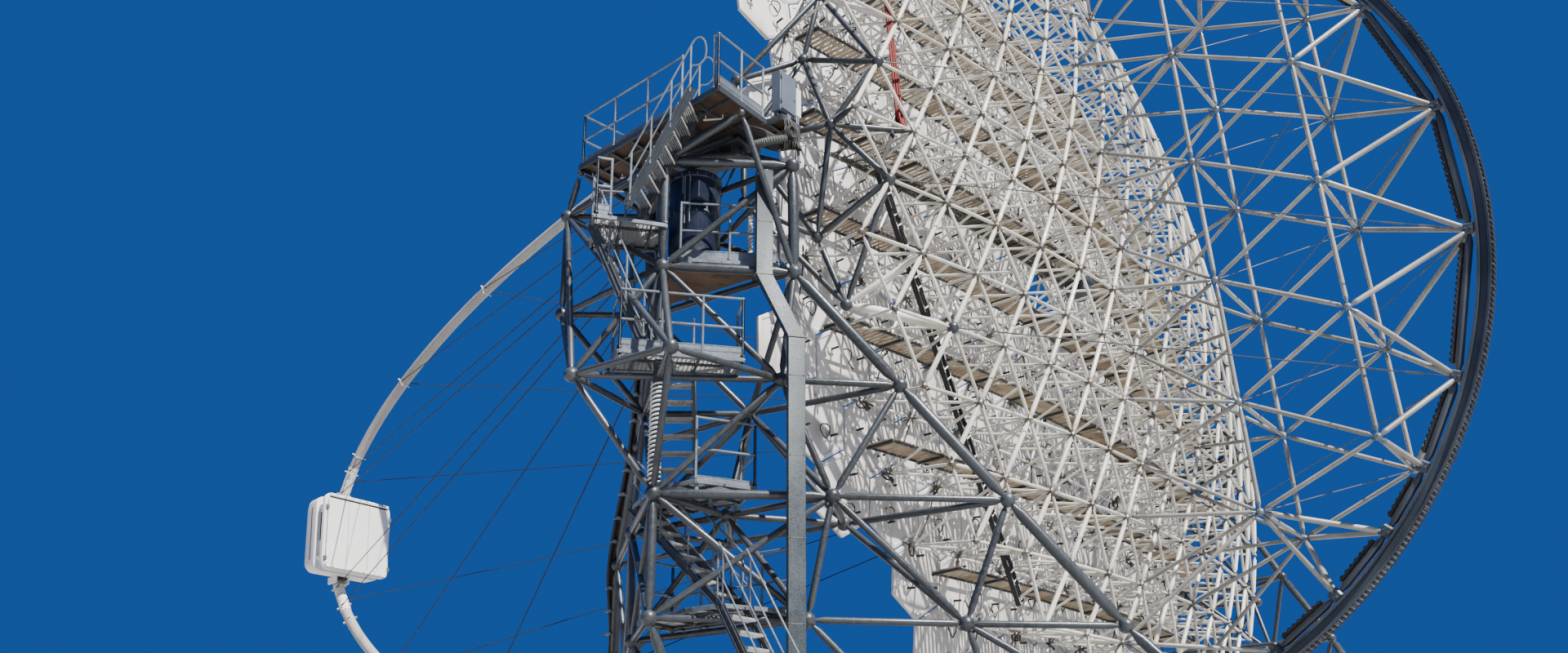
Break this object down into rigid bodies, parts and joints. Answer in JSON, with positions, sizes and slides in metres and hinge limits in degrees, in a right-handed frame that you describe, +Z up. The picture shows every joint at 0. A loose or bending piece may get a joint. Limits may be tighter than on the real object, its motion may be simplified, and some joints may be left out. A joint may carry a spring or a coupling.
{
  "type": "gamma-ray mirror telescope, half-size scale model",
  "caption": "Steerable mirror dish on a round rail, with two lattice towers, a toothed rear arch, and a long front arch that carries a camera box at the focus.",
  "frame": {"origin": "centre of the pivot base's foot, on the ground, on the vertical turning axis", "axes": "+Z up; the dish points along -X at rest and +X is behind it; the tilting axis runs along Y, and -Y is the side with the stairs"},
  "size_m": [20.0375, 14.575, 13.2131],
  "materials": {
    "galvanised_steel": "dull galvanised",
    "cream_tube": "satin paint",
    "white_tube": "satin paint",
    "mirror_panel": "bright front, white back",
    "camera_shell": "white paint",
    "slate_steel": "satin paint",
    "navy_cover": "satin paint",
    "stay_steel": "dark weathered",
    "foot_block": "rough concrete"
  },
  "bodies": {
    "base": {"rail_ring": "galvanised_steel", "pivot_base": "foot_block"},
    "undercarriage": {"base_frame": "galvanised_steel", "bogie_1": "slate_steel", "bogie_2": "slate_steel", "bogie_3": "slate_steel", "bogie_4": "slate_steel", "bogie_5": "slate_steel", "bogie_6": "slate_steel", "near_tower": "galvanised_steel", "far_tower": "galvanised_steel", "near_bearing_block": "slate_steel", "far_bearing_block": "slate_steel", "near_top_platform": "galvanised_steel", "far_top_platform": "galvanised_steel", "balcony": "galvanised_steel", "stair_landing": "galvanised_steel", "housing_deck": "galvanised_steel", "middle_deck": "galvanised_steel", "lower_deck": "galvanised_steel", "stairs_ground": "galvanised_steel", "stairs_lower": "galvanised_steel", "stairs_middle": "galvanised_steel", "stairs_upper": "galvanised_steel", "stairs_top": "galvanised_steel", "drive_housing": "navy_cover", "control_cabinet": "slate_steel", "cable_duct": "galvanised_steel", "elevation_drive": "slate_steel"},
    "dish": {"mirror_upper_near": "mirror_panel", "mirror_upper_far": "mirror_panel", "mirror_lower_near": "mirror_panel", "mirror_lower_far": "mirror_panel", "dish_lattice": "cream_tube", "near_side_frame": "galvanised_steel", "far_side_frame": "galvanised_steel", "rear_arch": "slate_steel", "wedge_truss": "cream_tube", "front_arch_upper": "white_tube", "front_arch_lower": "white_tube", "camera_housing": "camera_shell", "camera_shutter": "camera_shell", "front_stays_upper": "stay_steel", "front_stays_lower": "stay_steel"}
  },
  "joints": [
    {"name": "azimuth", "type": "hinge", "parent": "base", "child": "undercarriage", "pos_m": [0, 0, 0.6], "axis": [0, 0, 1], "range_deg": [-180, 180]},
    {"name": "elevation", "type": "hinge", "parent": "undercarriage", "child": "dish", "pos_m": [0, 0, 7.5], "axis": [0, 1, 0], "range_deg": [0, 94.5]}
  ]
}
